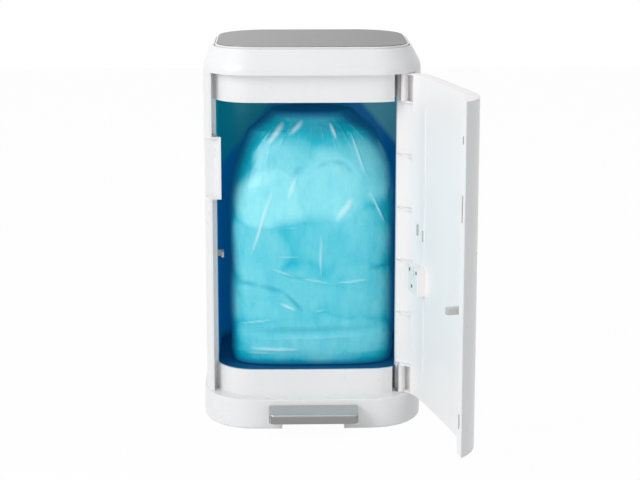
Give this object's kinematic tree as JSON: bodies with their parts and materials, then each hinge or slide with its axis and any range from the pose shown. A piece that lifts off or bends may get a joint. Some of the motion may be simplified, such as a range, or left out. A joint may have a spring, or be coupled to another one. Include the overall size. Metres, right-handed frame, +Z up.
{
  "type": "pedal nappy bin",
  "caption": "Upright oval bin with a foot pedal, a lift-up steel lid over a film cassette and sprung clamp flaps, and a side-hinged front door standing open on a hanging liner bag.",
  "frame": {"origin": "on the floor, under the middle of the body", "axes": "+X to the right and +Y to the back as seen by a person who stands at the pedal, +Z up"},
  "size_m": [0.3907, 0.5208, 0.587],
  "materials": {
    "white_shell": "satin moulded",
    "white_matt": "fine matt",
    "grey_plastic": "matt",
    "dark_plastic": "matt",
    "pale_plastic": "matt",
    "navy_lining": "matt",
    "brushed_steel": "brushed",
    "zinc_steel": "plated",
    "blade_steel": "ground",
    "grey_rubber": "matt",
    "cyan_film": "soft film",
    "bag_film": "soft film"
  },
  "bodies": {
    "body": {"base": "white_shell", "base_plate": "white_matt", "base_screws": "zinc_steel", "feet": "grey_rubber", "pedal_shaft": "zinc_steel", "rear_shell": "white_shell", "front_frame": "white_shell", "inner_drum": "navy_lining", "rod_guides": "dark_plastic", "top_cap": "white_shell", "lid_pin": "zinc_steel", "cassette": "pale_plastic", "film_pack": "cyan_film", "clamp_frame": "dark_plastic", "clamp_pins": "zinc_steel", "door_pin_lower": "zinc_steel", "door_pin_upper": "zinc_steel", "liner_bag": "bag_film"},
    "lid": {"lid_frame": "white_shell", "lid_plate": "brushed_steel", "lid_seal": "grey_rubber", "lid_crank": "dark_plastic"},
    "pedal": {"pedal_cover": "brushed_steel", "pedal_lever": "dark_plastic"},
    "rod": {"push_rod": "zinc_steel"},
    "door": {"door_outer": "white_shell", "door_inner": "white_matt", "hinge_strip": "white_matt", "door_catch": "grey_plastic", "cutter_housing": "white_matt", "cutter_blade": "blade_steel", "cutter_screws": "zinc_steel"},
    "latch": {"latch_bolt": "grey_plastic"},
    "flap_left": {"clamp_flap_left": "dark_plastic"},
    "flap_right": {"clamp_flap_right": "dark_plastic"}
  },
  "joints": [
    {"name": "lid_hinge", "type": "hinge", "parent": "body", "child": "lid", "pos_m": [0, 0.109, 0.581], "axis": [-1, 0, 0], "range_deg": [0, 78]},
    {"name": "pedal_pivot", "type": "hinge", "parent": "body", "child": "pedal", "pos_m": [0, -0.0595, 0.024], "axis": [1, 0, 0], "range_deg": [0, 9.35]},
    {"name": "rod_slide", "type": "slide", "parent": "body", "child": "rod", "axis": [0, 0, 1], "range_m": [0, 0.0253]},
    {"name": "door_hinge", "type": "hinge", "parent": "body", "child": "door", "pos_m": [0.134, -0.1005, 0], "axis": [0, 0, 1], "range_deg": [-104, 0]},
    {"name": "latch_slide", "type": "slide", "parent": "body", "child": "latch", "axis": [-1, 0, 0], "range_m": [0, 0.005], "stiffness_N_per_m": 150},
    {"name": "flap_left_hinge", "type": "hinge", "parent": "body", "child": "flap_left", "pos_m": [-0.05, -0.014, 0.527], "axis": [0, 1, 0], "range_deg": [0, 55], "stiffness_Nm_per_rad": 0.05, "springref_deg": -17.19},
    {"name": "flap_right_hinge", "type": "hinge", "parent": "body", "child": "flap_right", "pos_m": [0.05, -0.014, 0.527], "axis": [0, -1, 0], "range_deg": [0, 55], "stiffness_Nm_per_rad": 0.05, "springref_deg": -17.19}
  ],
  "couplings": [
    {"joint": "pedal_pivot", "follows": "lid_hinge", "ratio": 0.11923},
    {"joint": "rod_slide", "follows": "lid_hinge", "m_per_rad": 0.018491},
    {"joint": "flap_right_hinge", "follows": "flap_left_hinge", "ratio": 1}
  ]
}
